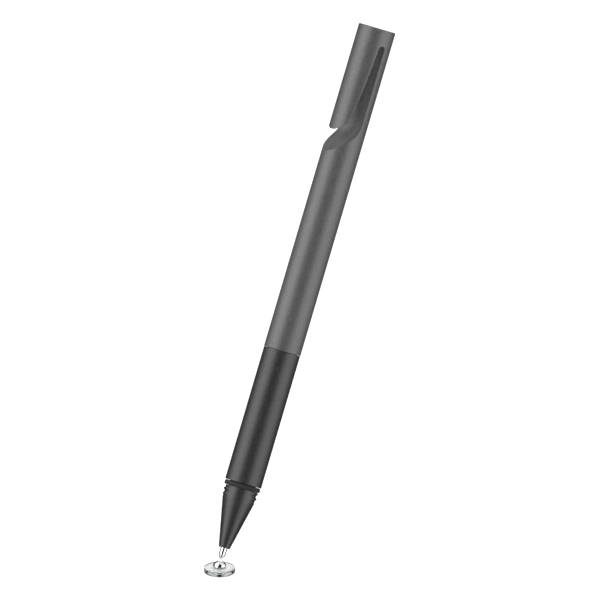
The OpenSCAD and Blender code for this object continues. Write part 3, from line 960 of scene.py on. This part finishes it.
def barrel():
    profile, clip_start, clip_end = cut_profile()
    count = len(profile)
    # Both ends lie on the skin
    profile[0].x = profile[-1].x = BARREL_R
    # Length along the profile
    run = [0.0]
    for a, b in zip(profile, profile[1:]):
        run.append(run[-1] + (b - a).length)

    def on_wall(s):
        """The place on the profile at that length along it."""
        s = max(0.0, min(run[-1], s))
        i = max(1, next(k for k in range(1, count) if run[k] >= s or k == count - 1))
        t = (s - run[i - 1]) / (run[i] - run[i - 1])
        return profile[i - 1].lerp(profile[i], t)

    def edge_width(i):
        """Width of the broken edge at a point of the profile."""
        down = max(0.0, min(1.0, (i - clip_start) / (clip_end - clip_start)))
        return CUT_EDGE + (CLIP_EDGE - CUT_EDGE) * down * smoothstep((clip_end - i) / CLIP_EDGE_END)

    half_width = [math.sqrt(max(0.0, BARREL_R ** 2 - p.x ** 2)) for p in profile]
    around = [BARREL_R * math.atan2(w, p.x) for w, p in zip(half_width, profile)]

    # The cut's edge on the unrolled skin, down one side and back up the other, and the same moved out
    edge = [Vector((u, p.y)) for u, p in zip(around, profile)]
    edge += [Vector((-around[i], profile[i].y)) for i in range(count - 2, 0, -1)]
    stations = [i if i < count else 2 * count - 2 - i for i in range(len(edge))]
    area = sum(a.cross(b) for a, b in zip(edge, edge[1:] + edge[:1]))
    outside = math.copysign(1, area)
    skin_loop = []
    for i, here in enumerate(edge):
        way = (edge[(i + 1) % len(edge)] - edge[i - 1]).normalized()
        skin_loop.append(here + Vector((way.y, -way.x)) * outside * edge_width(stations[i]))

    # The same edge moved in on the walls of the cut: distance along the profile, and half the width left
    wall_at = []
    wall_half = []
    for i in range(count):
        d = edge_width(i)
        if i in (0, count - 1):
            wall_at.append(run[i] + (d if i == 0 else -d))
            wall_half.append(0.0)
            continue
        way = Vector((run[i + 1] - run[i - 1], half_width[i + 1] - half_width[i - 1])).normalized()
        wall_at.append(run[i] + d * way.y)
        wall_half.append(half_width[i] - d * way.x)
    walls = [on_wall(s) for s in wall_at]

    bm = bmesh.new()
    # Broken edge, from the skin over the cut's edge to its walls
    rows = []
    for i, station in enumerate(stations):
        side = 1 if i < count else -1
        corner = Vector((profile[station].x, side * half_width[station], profile[station].y))
        last = Vector((walls[station].x, side * wall_half[station], walls[station].y))
        row = bend(on_skin(skin_loop[i]), corner, last, CUT_EDGE_STEPS)
        rows.append([bm.verts.new(PEN_MM @ p) for p in row])
    quads(bm, rows + rows[:1])

    # Walls of the cut, from one side of the pen to the other
    wall_rows = []
    for wall, half in zip(walls, wall_half):
        sides = [half * (2 * k / WALL_STEPS - 1) for k in range(WALL_STEPS + 1)]
        wall_rows.append([bm.verts.new(PEN_MM @ Vector((wall.x, y, wall.y))) for y in sides])
    # The walls take the second material, which has painted light deep in the slot
    quads(bm, wall_rows, material=1)

    # Skin round the cut, lower barrel with its bore and the drill's point, and the closed top
    lip_z = TOP_Z - CLIP_LEN - CLIP_MOUTH
    low = lip_z - SKIN_BELOW_LIP
    high = TOP_Z - TOP_ROUND
    bore_end_z = lip_z - BORE_WEB
    skin_round_cut(bm, skin_loop, low, high)
    tube = eased([
        (BARREL_R, low),
        (BARREL_R, SEAM_Z),
        (BORE_R, SEAM_Z),
        (BORE_R, bore_end_z),
        (0, bore_end_z + BORE_R / math.tan(DRILL_ANGLE)),
    ], FINE_EDGE, closed=False)
    spin(bm, tube, PEN_MM, closed=False)
    top = arc(BARREL_R - TOP_ROUND, high, TOP_ROUND, 0, 90) + [(0, TOP_Z)]
    spin(bm, top, PEN_MM, closed=False)

    bmesh.ops.remove_doubles(bm, verts=bm.verts, dist=WELD)
    loose = [v for v in bm.verts if not v.link_faces]
    bmesh.ops.delete(bm, geom=loose, context="VERTS")
    open_edges = sum(1 for e in bm.edges if len(e.link_faces) != 2)
    if open_edges:
        print("barrel: edges without two faces", open_edges)
    return finished("barrel_milled", bm, "barrel", "handle", milled_grey_painted_light)


barrel()
barrel_coupling()
grip_sleeve()
nose_cone()
cap_o_ring()
tip_bush()
cushion_spring()
contact_plunger()
tip_pin()
disc_hub()
disc()
contact_film_sheet()


# Studio: white floor, soft boxes and dark cards round the pen, all in metres

# Across the pen to the right, as the camera sees it
ACROSS = AXIS.cross(BACK)
MIDDLE = (cad_box[0] + cad_box[1]) / 2


def round_the_pen(angle):
    """The direction at that angle from the camera's side, in degrees, positive to the right."""
    a = math.radians(angle)
    return BACK * math.cos(a) + ACROSS * math.sin(a)


def placed(x_axis, y_axis, z_axis, place):
    """The matrix of an object that stands at a place with those axes."""
    return Matrix((
        (x_axis.x, y_axis.x, z_axis.x, place.x),
        (x_axis.y, y_axis.y, z_axis.y, place.y),
        (x_axis.z, y_axis.z, z_axis.z, place.z),
        (0, 0, 0, 1),
    ))


def soft_box(name, angle, width, length, distance, power):
    """A large area light beside the pen, its long side along it."""
    data = bpy.data.lights.new(name, "AREA")
    data.shape = "RECTANGLE"
    data.size = width
    data.size_y = length
    data.energy = power
    lamp = bpy.data.objects.new(name, data)
    bpy.context.scene.collection.objects.link(lamp)
    towards = round_the_pen(angle)
    lamp.matrix_world = placed(AXIS.cross(towards), AXIS, towards, MIDDLE + towards * distance)
    lamp.visible_camera = False


# The cards' brightness, and the number of flat faces in each one's curve
CARD_GREY = (0.02, 0.02, 0.02, 1)
CARD_STEPS = 12


def card(name, first, last, radius, low, high, in_glass=True):
    """A curved dark card round the pen, from low to high along it, seen only in reflections and glass."""
    material, tree, _ = new_material(name)
    tree.nodes.clear()
    out = tree.nodes.new("ShaderNodeOutputMaterial")
    glow = tree.nodes.new("ShaderNodeEmission")
    glow.inputs["Color"].default_value = CARD_GREY
    tree.links.new(glow.outputs["Emission"], out.inputs["Surface"])
    bm = bmesh.new()
    rows = []
    for i in range(CARD_STEPS + 1):
        foot = MIDDLE + round_the_pen(first + (last - first) * i / CARD_STEPS) * radius
        rows.append([bm.verts.new(foot + AXIS * end) for end in (low, high)])
    quads(bm, rows)
    curved = as_object(name, bm, material)
    curved.visible_camera = False
    curved.visible_diffuse = False
    curved.visible_shadow = False
    curved.visible_volume_scatter = False
    curved.visible_transmission = in_glass


def seen_straight(tree):
    """1 for rays from the camera and in mirrors and glass, 0 for the light that falls on things."""
    path = tree.nodes.new("ShaderNodeLightPath")
    mirrored = calculated(tree, "MAXIMUM", path.outputs["Is Camera Ray"], path.outputs["Is Glossy Ray"])
    return calculated(tree, "MAXIMUM", mirrored, path.outputs["Is Transmission Ray"])


def white_world(fill):
    """White all round, which lights things with a share of what is seen."""
    world = bpy.data.worlds.new("studio")
    bpy.context.scene.world = world
    world.use_nodes = True
    tree = world.node_tree
    sky = tree.nodes["Background"]
    sky.inputs["Color"].default_value = (1, 1, 1, 1)
    tree.links.new(between(tree, seen_straight(tree), fill, 1.0, 0.0, 1.0), sky.inputs["Strength"])


# The floor lies a little below the disc, so that the disc can tilt over it
FLOOR_DROP = 2 * MM
FLOOR_WHITE = (0.88, 0.88, 0.88, 1)
FLOOR_ROUGHNESS = 0.9


def white_floor(size, glow, glow_in_glass):
    """A matte floor that glows for the camera, so that it is as white as the world round it."""
    material, tree, shader = new_material("floor")
    shader.inputs["Base Color"].default_value = FLOOR_WHITE
    shader.inputs["Roughness"].default_value = FLOOR_ROUGHNESS
    shader.inputs["Specular IOR Level"].default_value = 0.0
    shader.inputs["Emission Color"].default_value = (1, 1, 1, 1)
    path = tree.nodes.new("ShaderNodeLightPath")
    in_glass = calculated(tree, "MULTIPLY", path.outputs["Is Transmission Ray"], glow_in_glass)
    seen = calculated(tree, "MULTIPLY_ADD", path.outputs["Is Camera Ray"], glow, in_glass)
    tree.links.new(seen, shader.inputs["Emission Strength"])
    bm = bmesh.new()
    bmesh.ops.create_grid(bm, x_segments=1, y_segments=1, size=size / 2)
    floor = as_object("floor", bm, material)
    floor.location.z = -FLOOR_DROP
    floor.visible_glossy = False


white_world(fill=0.75)
white_floor(size=6.0, glow=0.35, glow_in_glass=0.1)
soft_box("soft_box_left", -64, width=0.34, length=0.5, distance=0.35, power=1.0)
soft_box("soft_box_right", 65, width=0.34, length=0.5, distance=0.35, power=0.77)
card("card_front", -26, 26, radius=0.3, low=-0.9, high=0.3)
card("flag_left", -150, -114, radius=0.5, low=-1.5, high=1.0)
card("flag_right", 116, 150, radius=0.5, low=-1.5, high=1.0)
card("flag_behind", 150, 210, radius=0.5, low=-1.5, high=0.36)
card("tip_flag_left", -125, -85, radius=0.04, low=-0.12, high=-0.054, in_glass=False)
card("tip_flag_right", 84, 125, radius=0.04, low=-0.12, high=-0.054, in_glass=False)


def make_camera():
    """The camera, which sees the disc where the photo shows it."""
    data = bpy.data.cameras.new("camera")
    data.type = "ORTHO"
    data.ortho_scale = VIEW_WIDTH
    data.clip_start, data.clip_end = CAMERA_SEES
    camera = bpy.data.objects.new("camera", data)
    bpy.context.scene.collection.objects.link(camera)
    disc_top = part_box("disc")[1].z
    aim = Vector((0, 0, disc_top)) + RIGHT * RIGHT_OF_DISC + UP * ABOVE_DISC
    camera.matrix_world = placed(RIGHT, UP, BACK, aim + BACK * CAMERA_DISTANCE)
    bpy.context.scene.camera = camera


make_camera()
bpy.context.scene.view_settings.view_transform = "Standard"
